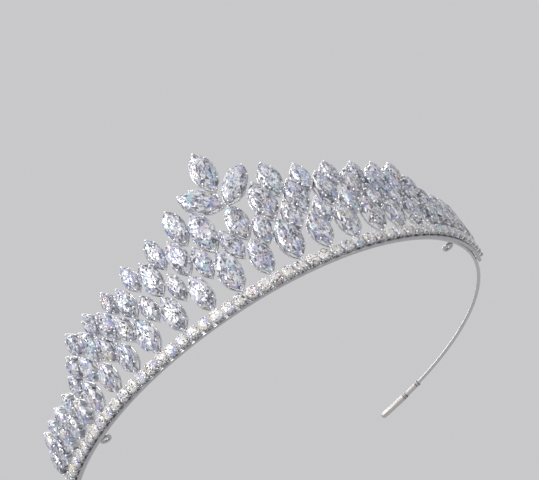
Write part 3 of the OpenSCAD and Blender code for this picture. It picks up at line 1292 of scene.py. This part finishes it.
@dataclass(frozen=True)
class CrystalFinish:
    """Cut crystal: clear body whose colour is painted light, a mosaic of dark reflections,
    mid tones, bright glints and painted fire.
    """

    name: str
    slot: str
    dark: Colour
    cast: Colour
    clear: Colour
    fire: float
    shards_per_mm: float
    tilt: float = 0.4
    index: float = 2.15
    transmission: float = 0.15

    def build(self, groups: GroupMaker) -> bpy.types.Material:
        """Makes the material.

        Args:
            groups: The shared groups.

        Returns:
            The material.
        """
        material, tree, skin = new_material(self.name)
        play = tree.add("ShaderNodeGroup", node_tree=groups.facets.tree)
        tree.fill(play, {"Dark": self.dark, "Cast": self.cast, "Clear": self.clear,
                         "Fire": self.fire, "Shards": self.shards_per_mm,
                         "Tilt": self.tilt})
        tree.fill(skin, {"Base Color": play.outputs["Color"],
                         "Roughness": play.outputs["Roughness"],
                         "Normal": play.outputs["Normal"], "Metallic": 0.0,
                         "IOR": self.index, "Transmission Weight": self.transmission})
        return material


@dataclass(frozen=True)
class PlatedFinish:
    """Plated metal: a bright or satin skin with shade painted into its corners."""

    name: str
    slot: str
    metal: Colour
    shade_and_wear: Colour
    corner_shade: float
    polish: float
    grain: float
    drawn: float = 0.0
    bump: float = 0.1
    bump_depth: float = 0.02 * MM

    def build(self, groups: GroupMaker) -> bpy.types.Material:
        """Makes the material.

        Args:
            groups: The shared groups.

        Returns:
            The material.
        """
        material, tree, skin = new_material(self.name)
        plating = tree.add("ShaderNodeGroup", node_tree=groups.plating.tree)
        tree.fill(plating, {"Metal": self.metal, "Shade And Wear": self.shade_and_wear,
                            "Corner Shade": self.corner_shade, "Polish": self.polish,
                            "Grain": self.grain, "Drawn": self.drawn})
        bump = tree.add("ShaderNodeBump")
        tree.fill(bump, {"Strength": self.bump, "Distance": self.bump_depth,
                         "Height": plating.outputs["Height"]})
        tree.fill(skin, {"Base Color": plating.outputs["Color"],
                         "Roughness": plating.outputs["Roughness"],
                         "Normal": bump.outputs["Normal"], "Metallic": 1.0})
        return material


def new_material(name: str) -> tuple[bpy.types.Material, Tree, bpy.types.Node]:
    """Material with one principled shader.

    Args:
        name: Name of the material.

    Returns:
        The material, its tree and its shader.
    """
    material = bpy.data.materials.new(name)
    material.use_nodes = True
    tree = Tree(material.node_tree)
    skin = tree.add("ShaderNodeBsdfPrincipled")
    out = tree.add("ShaderNodeOutputMaterial")
    tree.link(skin.outputs["BSDF"], out.inputs["Surface"])
    return material, tree, skin


def new_object(name: str, data: bpy.types.ID) -> bpy.types.Object:
    """Object with its data, in the scene.

    Args:
        name: Name of the object.
        data: Its mesh, light or camera.

    Returns:
        The object.
    """
    obj = bpy.data.objects.new(name, data)
    bpy.context.scene.collection.objects.link(obj)
    return obj


# The crystals' dark, cast and clear colours are painted light: dark reflections, a mid tone
# of reflected light and bright painted glints.
MARQUISE_CRYSTAL = CrystalFinish(
    "marquise_crystal", "marquise_crystal", dark=(0.09, 0.09, 0.12),
    cast=(0.37, 0.38, 0.46), clear=(0.93, 0.94, 0.99), fire=0.9, shards_per_mm=1.7)
ROUND_CRYSTAL = CrystalFinish(
    "round_crystal", "round_crystal", dark=(0.08, 0.08, 0.08), cast=(0.68, 0.65, 0.62),
    clear=(1.0, 0.97, 0.93), fire=1.0, shards_per_mm=1.6, tilt=0.5, transmission=0.0)
# The metals' darker colours are what painted shade in corners and recesses, and worn spots,
# darken towards.
SETTING_METAL = PlatedFinish(
    "setting_metal", "setting_metal", metal=(0.88, 0.88, 0.90), shade_and_wear=(0.24, 0.24, 0.26),
    corner_shade=0.6, polish=0.1, grain=0.12)
CUP_METAL = PlatedFinish(
    "cup_metal", "cup_metal", metal=(0.88, 0.88, 0.89), shade_and_wear=(0.26, 0.26, 0.27),
    corner_shade=0.6, polish=0.1, grain=0.12)
BAND_METAL = PlatedFinish(
    "band_metal", "band_metal", metal=(0.62, 0.62, 0.64), shade_and_wear=(0.22, 0.22, 0.24),
    corner_shade=0.9, polish=0.2, grain=0.14, drawn=1.0, bump=0.05)
CAP_METAL = PlatedFinish(
    "cap_metal", "cap_metal", metal=(0.62, 0.60, 0.58), shade_and_wear=(0.22, 0.21, 0.20),
    corner_shade=0.9, polish=0.36, grain=0.16, bump=0.3)


@dataclass
class Workshop:
    """Turns shells into finished pieces that ride on the frame."""

    groups: GroupMaker
    random: np.random.Generator
    materials: dict[str, bpy.types.Material] = field(default_factory=dict)

    def material(self, finish: CrystalFinish | PlatedFinish) -> bpy.types.Material:
        """The finish's material, made once.

        Args:
            finish: The finish.

        Returns:
            The material.
        """
        if finish.name not in self.materials:
            self.materials[finish.name] = finish.build(self.groups)
        return self.materials[finish.name]

    def mesh(self, name: str, shell: Shell) -> bpy.types.Mesh:
        """Writes a shell to a mesh, with what its finish reads.

        A smooth shell keeps how deep each point lies in a corner, which sets the shade
        painted there. A faceted one has three random numbers for each face, which set its
        painted tone of reflected light.

        Args:
            name: Name of the mesh.
            shell: The shape, in millimetres.

        Returns:
            The mesh, in metres.
        """
        mesh = bpy.data.meshes.new(name)
        corners = shell.faces[shell.faces >= 0]
        sizes = np.where(shell.faces[:, 3] >= 0, 4, 3)
        mesh.vertices.add(len(shell.points))
        mesh.vertices.foreach_set("co", (shell.points * MM).astype(np.float32).ravel())
        mesh.loops.add(len(corners))
        mesh.loops.foreach_set("vertex_index", corners.astype(np.int32))
        mesh.polygons.add(len(sizes))
        mesh.polygons.foreach_set("loop_start", (np.cumsum(sizes) - sizes).astype(np.int32))
        mesh.polygons.foreach_set("use_smooth", np.full(len(sizes), shell.smooth))
        layer = mesh.uv_layers.new(name="along")
        layer.data.foreach_set("uv", shell.uv[corners].astype(np.float32).ravel())
        if shell.smooth:
            recess = mesh.attributes.new("recess", "FLOAT", "POINT")
            recess.data.foreach_set("value", shell.recess.astype(np.float32))
        else:
            facet = mesh.attributes.new("facet", "FLOAT_COLOR", "FACE")
            colours = np.column_stack([self.random.random((len(sizes), 3)),
                                       np.ones(len(sizes))])
            facet.data.foreach_set("color", colours.astype(np.float32).ravel())
        mesh.update(calc_edges=True)
        mesh.validate()
        if shell.smooth:
            mesh.set_sharp_from_angle(angle=math.radians(CREASE_DEGREES))
        return mesh

    def piece(self, node: str, shell: Shell, finish: CrystalFinish | PlatedFinish) -> None:
        """Makes the piece that stands for a CAD node, and reports it.

        Args:
            node: Name of the node.
            shell: Its shape, in millimetres.
            finish: Its finish.
        """
        mesh = self.mesh(f"{node}_look", shell)
        mesh.materials.append(self.material(finish))
        obj = new_object(f"{node}_look", mesh)
        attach(obj, "root")
        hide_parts(node)
        low, high = (np.array(corner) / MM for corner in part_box(node))
        points = shell.points
        off = np.abs(np.concatenate([points.min(axis=0) - low, points.max(axis=0) - high]))
        LOG.info("%s: %d faces, off its node by %.2f mm", node, len(shell.faces), off.max())


# ---- Sub-assemblies ----


@dataclass
class Headband:
    """Round wire with its flat rail, capped ends and hairpin loops."""

    lattice: Lattice
    cup: Cup
    tip_angle: float = 147.5
    wire_width: float = 1.1
    cap_width: float = 2.0
    cap_length: float = 17.0
    sleeve_length: float = 6.4
    sleeve_share: float = 0.8
    rail_width: float = 0.9
    rail_height: float = 0.5
    loop_bore: float = 2.0
    loop_wall: float = 0.6
    loop_height: float = 1.0
    loop_angle: float = 54.0
    wire_stops: int = 300
    rail_stops: int = 160
    loop_stops: int = 32
    wire_sides: int = 20
    edge_sides: int = 12

    @property
    def path_radius(self) -> float:
        """Radius of the wire's own middle line."""
        return self.lattice.band_radius - self.cup.depth - self.wire_width / 2 - SEAT

    @property
    def path_height(self) -> float:
        """Height of the wire's own middle line, where the caps just touch the floor."""
        return self.cap_width / 2

    def arc(self, angles: np.ndarray, across: np.ndarray, radius: float,
            height: float) -> np.ndarray:
        """Profile carried along the band's arc.

        At angle a from the front, profile point (x, z) goes to radius + x, height + z.

        Args:
            angles: Angles from the front in degrees (stops,).
            across: Profile at each stop (stops, points, 2), or one for all.
            radius: Radius of the path.
            height: Height of the path.

        Returns:
            Array (stops, points, 3).
        """
        turn = np.radians(angles)[:, None]
        out = radius + across[..., 0]
        return np.stack(np.broadcast_arrays(out * np.sin(turn), -out * np.cos(turn),
                                            height + across[..., 1]), axis=-1)

    def tube(self, angles: np.ndarray, radii: np.ndarray) -> np.ndarray:
        """Circles of some radii along the wire's middle line, as rings."""
        profile = radii[:, None, None] * unit_circle(self.wire_sides)
        return self.arc(angles, profile, self.path_radius, self.path_height)

    def wire(self) -> Shell:
        """Drawn wire from cap to cap.

        Returns:
            The wire, closed at both ends.
        """
        reach = self.tip_angle - math.degrees(self.cap_length / self.path_radius)
        radii = np.full(self.wire_stops, self.wire_width / 2 - SEAT)
        return sweep(self.tube(np.linspace(-reach, reach, self.wire_stops), radii),
                     recess=0.05)

    def rail(self) -> Shell:
        """Flat rail with rounded edges that joins the cups from below.

        Returns:
            The rail, closed at both ends.
        """
        reach = math.degrees((self.lattice.cups_per_side + 0.5) * self.cup.pitch
                             / self.lattice.band_radius)
        profile = soft_box(self.rail_width, self.rail_height, self.edge_sides, power=0.4)
        middle = self.lattice.band_radius - self.cup.depth + SEAT + self.rail_width / 2
        rings = self.arc(np.linspace(-reach, reach, self.rail_stops), profile[None],
                         middle, self.rail_height / 2)
        # The rail lies under the cups and takes an even painted shade.
        return sweep(rings, recess=0.2)

    def cap(self, side: int) -> Shell:
        """Narrow sleeve with a rolled mouth, a rolled collar and a tip with a dome.

        Its radius is a function of the distance from its mouth, and the dome is a
        quarter circle of that radius.

        Args:
            side: 1 on the right and -1 on the left.

        Returns:
            The cap.
        """
        half, length = self.cap_width / 2, self.cap_length
        roll = np.array([0.0, 0.08, 0.3, 0.55, 0.7, 0.85])
        curl = np.array([0.82, 0.95, 1.0, 0.95, 0.84, self.sleeve_share])
        sleeve = np.linspace(1.4, self.sleeve_length - 0.3, 10)
        body = np.linspace(self.sleeve_length + 1.3, length, 16)
        dome = np.sin(np.linspace(0.12, 1.45, 8))
        along = np.concatenate([roll, sleeve, self.sleeve_length + roll, body,
                                length + half * dome])
        radii = half * np.concatenate([
            curl, np.full(len(sleeve), self.sleeve_share), np.maximum(curl, 0.9),
            0.975 + 0.012 * np.sin(body * 0.9), np.sqrt(1 - dome ** 2) * 0.987])
        # Painted shade in the creases of the rolled mouth and collar, and where the sleeve
        # meets the collar.
        creases = [0.9, 0.5, 0.0, 0.2, 0.8, 1.0]
        deep = np.concatenate([creases, np.zeros(len(sleeve) - 1), [1.0], creases,
                               np.zeros(len(body) + len(dome))])
        start = self.tip_angle - math.degrees(length / self.path_radius)
        rings = self.tube(side * (start + np.degrees(along / self.path_radius)), radii)
        return sweep(rings, recess=np.broadcast_to(deep[:, None], rings.shape[:2]))

    def loop(self, side: int) -> Shell:
        """Upright ring with rounded edges, its profile turned once about its hole.

        Args:
            side: 1 on the right and -1 on the left.

        Returns:
            The loop, against the inside of the wire.
        """
        middle = [(self.loop_bore + self.loop_wall) / 2, 0]
        edge = soft_box(self.loop_wall, self.loop_height, self.edge_sides, power=0.7)
        radius = (self.path_radius - self.wire_width / 2 - self.loop_bore / 2
                  - self.loop_wall - SEAT)
        place = turned("Z", side * self.loop_angle) @ moved(0, -radius, self.path_height)
        return revolved(edge + middle, self.loop_stops, 0.1).placed(place)

    def build(self, shop: Workshop) -> None:
        """Builds the band's six pieces.

        Args:
            shop: Where the pieces are made.
        """
        shop.piece("headband_wire", self.wire(), BAND_METAL)
        shop.piece("base_rail", self.rail(), BAND_METAL)
        for side, name in SIDES:
            shop.piece(f"end_cap_{name}", self.cap(side), CAP_METAL)
            shop.piece(f"hairpin_loop_{name}", self.loop(side), BAND_METAL)


@dataclass
class RoundRow:
    """Row of round stones in their cups, in three lengths."""

    lattice: Lattice
    cup: Cup
    overhang: float = 0.27
    crown_height: float = 0.45
    pavilion_share: float = 0.6
    greatest_spin: float = 45.0
    front_cups: int = 8

    def build(self, shop: Workshop) -> None:
        """Builds the cups and stones of the left, front and right lengths.

        Args:
            shop: Where the pieces are made.
        """
        depth = self.cup.depth * self.pavilion_share - GemCut.half_girdle
        width = self.cup.stone_width + 2 * self.overhang
        stone = GemCut(self.crown_height, depth).shell(
            lambda turn: circle_points(width, turn))
        last, front = self.lattice.cups_per_side, self.front_cups
        for name, first, end in (("left", -last, -front - 1), ("front", -front, front),
                                 ("right", front + 1, last)):
            seats = np.array([self.lattice.on_band(i * self.cup.pitch, 0, tilt=0)
                              for i in range(first, end + 1)])
            spun = np.array([seat @ turned("Z", self.greatest_spin * shop.random.random())
                             for seat in seats])
            shop.piece(f"round_cups_{name}", self.cup.shell().placed(seats), CUP_METAL)
            shop.piece(f"round_stones_{name}", stone.placed(spun), ROUND_CRYSTAL)


@dataclass
class MarquiseRows:
    """The four rows of marquise stones in their baskets, and the three top leaves."""

    lattice: Lattice
    basket: Basket
    band: Headband
    crown_height: float = 0.88
    pavilion_depth: float = 2.05
    overhang: float = 0.34
    solder_radius: float = 0.3
    solder_sides: int = 7

    def stones(self, seats: Sequence[Seat]) -> Shell:
        """The cut stones of some seats, each a little wider than the ring under it.

        Args:
            seats: Seats of the stones.

        Returns:
            One shell of all the stones.
        """
        cut = GemCut(self.crown_height, self.pavilion_depth)
        grown = 2 * self.overhang
        return joined([
            cut.shell(lambda turn, size=seat.calibre: leaf_points(
                size.length + grown, size.width + grown, turn))
            .placed(self.lattice.matrix(seat)) for seat in seats])

    def baskets(self, seats: Sequence[Seat]) -> list[Shell]:
        """The baskets of some seats."""
        return [self.basket.shell(seat.calibre).placed(self.lattice.matrix(seat))
                for seat in seats]

    def posts(self, seats: Sequence[Seat]) -> list[Shell]:
        """Posts from the lowest baskets down to the headband wire.

        Args:
            seats: Seats in the lowest row.

        Returns:
            One post for each seat.
        """
        drop = (self.lattice.row_height - self.band.path_height
                - self.band.wire_width / 2 - SEAT)
        return [self.basket.post(seat.calibre.length / 2, seat.height + drop)
                .placed(self.lattice.matrix(seat)) for seat in seats]

    def solder(self, spots: Sequence[tuple[float, float]]) -> list[Shell]:
        """Drops of solder that join neighbouring rims, at the height of each ring.

        A drop is a ball whose radius is a half circle over its height.

        Args:
            spots: Arc length and height of each place where two rims meet.

        Returns:
            All the drops as one shell in a list, which is empty where no rims meet.
        """
        lift = np.array([-0.92, -0.55, 0.0, 0.55, 0.92])
        stops = np.column_stack([np.zeros(len(lift)), lift, np.sqrt(1 - lift ** 2)])
        # The drops sit between rims and take painted shade all over.
        drop = rod(stops * self.solder_radius, self.solder_sides, recess=0.45)
        rings = (-self.basket.bearing_drop - self.basket.ring_height / 2,
                 -self.basket.depth + self.basket.ring_height / 2)
        places = [self.lattice.on_band(place, height) @ moved(z=level)
                  for place, height in spots for level in rings]
        return [drop.placed(np.array(places))] if places else []

    def group(self, row: Row, columns: Sequence[float], side: int, label: str,
              shop: Workshop, plural: bool = True) -> None:
        """Builds one group of a row: its baskets and its stones.

        Args:
            row: Row of the lattice.
            columns: Columns of the group.
            side: 1 on the right and -1 on the left.
            label: End of the pieces' names.
            shop: Where the pieces are made.
            plural: Whether the names speak of several stones.
        """
        seats = [self.lattice.seat(row, column, side) for column in columns]
        spots = [spot for column in columns
                 for spot in self.lattice.contacts(row, column, side)]
        shells = self.baskets(seats) + self.solder(spots)
        if row is Row.LOW:
            shells += self.posts(seats)
        many = "s" if plural else ""
        shop.piece(f"{row.value}_setting{many}_{label}", joined(shells), SETTING_METAL)
        shop.piece(f"{row.value}_stone{many}_{label}", self.stones(seats),
                   MARQUISE_CRYSTAL)

    def build(self, shop: Workshop) -> None:
        """Builds every row, then the top leaves.

        Args:
            shop: Where the pieces are made.
        """
        rule = self.lattice
        whole = [float(c) for c in range(1, rule.last_column + 1)]
        half = [c - 0.5 for c in whole]
        front = rule.front_columns
        for side, name in SIDES:
            self.group(Row.LOW, whole[:front], side, f"{name}_front", shop)
            self.group(Row.LOW, whole[front:], side, f"{name}_side", shop)
            self.group(Row.NEST, half[:front], side, f"{name}_front", shop)
            self.group(Row.NEST, half[front:], side, f"{name}_side", shop)
            self.group(Row.HIGH, whole[:rule.side_columns], side, name, shop)
            self.group(Row.CREST, half[1:rule.side_columns], side, name, shop)
        self.group(Row.LOW, [0.0], 1, "middle", shop, plural=False)
        self.group(Row.HIGH, [0.0], 1, "middle", shop, plural=False)
        self.leaves(shop)

    def leaves(self, shop: Workshop) -> None:
        """Builds the two side leaves and the top leaf on its post.

        Args:
            shop: Where the pieces are made.
        """
        hub = self.lattice.hub_height()
        for side, name in SIDES:
            seat = self.lattice.wing_seat(side)
            shop.piece(f"wing_setting_{name}", joined(self.baskets([seat])),
                       SETTING_METAL)
            shop.piece(f"wing_stone_{name}", self.stones([seat]), MARQUISE_CRYSTAL)
        seat = self.lattice.top_seat()
        post = self.basket.post(seat.calibre.length / 2,
                                seat.height - hub - self.basket.post_width)
        shells = self.baskets([seat]) + [post.placed(self.lattice.matrix(seat))]
        shop.piece("top_setting", joined(shells), SETTING_METAL)
        shop.piece("top_stone", self.stones([seat]), MARQUISE_CRYSTAL)


# ---- Studio ----


def direction(azimuth: float, elevation: float) -> Vector:
    """Unit vector some degrees to the right of the front and above the floor.

    Args:
        azimuth: Degrees to the right of the front.
        elevation: Degrees above the floor.

    Returns:
        Vector of length 1.
    """
    turn, lift = math.radians(azimuth), math.radians(elevation)
    return Vector((math.sin(turn) * math.cos(lift), -math.cos(turn) * math.cos(lift),
                   math.sin(lift)))


@dataclass(frozen=True)
class Lamp:
    """Square soft lamp: its direction in degrees, and its power in watts."""

    name: str
    azimuth: float
    elevation: float
    distance: float
    watts: float
    width: float = 0.5
    target: tuple[float, float, float] = (0.0, -0.03, 0.015)

    def build(self) -> None:
        """Hangs the lamp, aimed at the tiara."""
        light = bpy.data.lights.new(self.name, "AREA")
        light.shape = "SQUARE"
        light.size = self.width
        light.energy = self.watts
        obj = new_object(self.name, light)
        away = direction(self.azimuth, self.elevation)
        obj.location = Vector(self.target) + away * self.distance
        obj.rotation_euler = away.to_track_quat("Z", "Y").to_euler()


@dataclass
class Studio:
    """Pale floor, soft lamps, pale surroundings and the camera."""

    azimuth: float = -15.51
    elevation: float = -27.47
    roll: float = -35.56
    distance: float = 343.6
    aim: tuple[float, float, float] = (12.15, -40.57, 28.02)
    lens: float = 83.48
    nearest: float = 0.01
    farthest: float = 20.0
    floor_colour: Colour = (0.57, 0.57, 0.58)
    floor_roughness: float = 0.6
    floor_radius: float = 3.0
    floor_drop: float = 0.02
    floor_sides: int = 96
    cloud_scale: float = 40.0
    cloud_shade: float = 0.985
    fade: tuple[float, float] = (0.14, 0.5)
    surround: Colour = (0.58, 0.58, 0.59)
    ambient: float = 0.57
    lamps: tuple[Lamp, ...] = (
        Lamp("key", azimuth=-36, elevation=38, distance=0.9, watts=5.5),
        Lamp("fill", azimuth=48, elevation=25, distance=1.0, watts=0.8),
        Lamp("back", azimuth=170, elevation=50, distance=0.9, watts=3.0))

    def floor_paint(self) -> bpy.types.Material:
        """Matt paint that fades into the surroundings and is clear from below.

        It takes light and shadow near the tiara, and fades with the distance from the
        middle to the colour of the surroundings, which reflections show everywhere.

        Returns:
            The material.
        """
        material = bpy.data.materials.new("floor_paint")
        material.use_nodes = True
        tree = Tree(material.node_tree)
        place = tree.add("ShaderNodeTexCoord").outputs["Object"]
        cloud = tree.ramp(tree.noise(place, self.cloud_scale), 0.3, 0.7,
                          self.cloud_shade, 1.0)
        paint = tree.add("ShaderNodeBsdfPrincipled")
        tree.fill(paint, {"Base Color": tree.blend(1.0, self.floor_colour, cloud, "MULTIPLY"),
                          "Roughness": self.floor_roughness})
        pale = tree.add("ShaderNodeEmission")
        tree.fill(pale, {"Color": self.surround})
        path = tree.add("ShaderNodeLightPath")
        mirrored = tree.math("MAXIMUM", path.outputs["Is Glossy Ray"],
                             path.outputs["Is Transmission Ray"])
        away = tree.add("ShaderNodeVectorMath", operation="LENGTH")
        tree.link(place, away.inputs[0])
        far = tree.ramp(away.outputs["Value"], *self.fade)
        seen = tree.layered(tree.math("MAXIMUM", mirrored, far), paint, pale)
        under = tree.add("ShaderNodeNewGeometry").outputs["Backfacing"]
        both = tree.layered(under, seen, tree.add("ShaderNodeBsdfTransparent"))
        out = tree.add("ShaderNodeOutputMaterial")
        tree.link(both.outputs[0], out.inputs["Surface"])
        return material

    def floor(self) -> None:
        """Flat round floor just under the band, seen from above only."""
        level = CAD_BOX[0][2] - self.floor_drop * MM
        points = levelled(unit_circle(self.floor_sides) * self.floor_radius, level)
        mesh = bpy.data.meshes.new("floor")
        mesh.from_pydata(points.tolist(), [], [list(range(self.floor_sides))])
        mesh.materials.append(self.floor_paint())
        obj = new_object("floor", mesh)

    def world(self) -> None:
        """Pale surroundings for the eye and for reflections, and a dimmer fill light."""
        world = bpy.data.worlds.new("surroundings")
        bpy.context.scene.world = world
        world.use_nodes = True
        tree = Tree(world.node_tree)
        path = tree.add("ShaderNodeLightPath")
        seen = tree.math("MAXIMUM", path.outputs["Is Camera Ray"],
                         path.outputs["Is Glossy Ray"])
        seen = tree.math("MAXIMUM", seen, path.outputs["Is Transmission Ray"])
        back = tree.add("ShaderNodeBackground")
        tree.fill(back, {"Color": self.surround,
                         "Strength": tree.ramp(seen, 0.0, 1.0, self.ambient, 1.0)})
        out = tree.add("ShaderNodeOutputWorld")
        tree.link(back.outputs[0], out.inputs["Surface"])

    def camera(self) -> None:
        """Camera from below the front left, turned about its own axis."""
        data = bpy.data.cameras.new("camera")
        data.lens = self.lens
        data.clip_start = self.nearest
        data.clip_end = self.farthest
        obj = new_object("camera", data)
        back = direction(self.azimuth, self.elevation)
        roll = Matrix.Rotation(math.radians(self.roll), 3, "Z").to_quaternion()
        obj.location = (Vector(self.aim) + back * self.distance) * MM
        obj.rotation_mode = "QUATERNION"
        obj.rotation_quaternion = back.to_track_quat("Z", "Y") @ roll
        bpy.context.scene.camera = obj

    def build(self) -> None:
        """Sets up the whole studio."""
        bpy.context.scene.view_settings.view_transform = "Standard"
        self.floor()
        self.world()
        for lamp in self.lamps:
            lamp.build()
        self.camera()


def main() -> None:
    """Builds the tiara in order, then the studio."""
    logging.basicConfig(level=logging.INFO, format="%(name)s: %(message)s")
    shop = Workshop(GroupMaker(), np.random.default_rng(SEED))
    lattice, cup = Lattice(), Cup()
    band = Headband(lattice, cup)
    band.build(shop)
    RoundRow(lattice, cup).build(shop)
    basket = Basket(rim=lattice.rim, claw_width=lattice.claw_width)
    MarquiseRows(lattice, basket, band).build(shop)
    Studio().build()


if __name__ == "__main__":
    main()
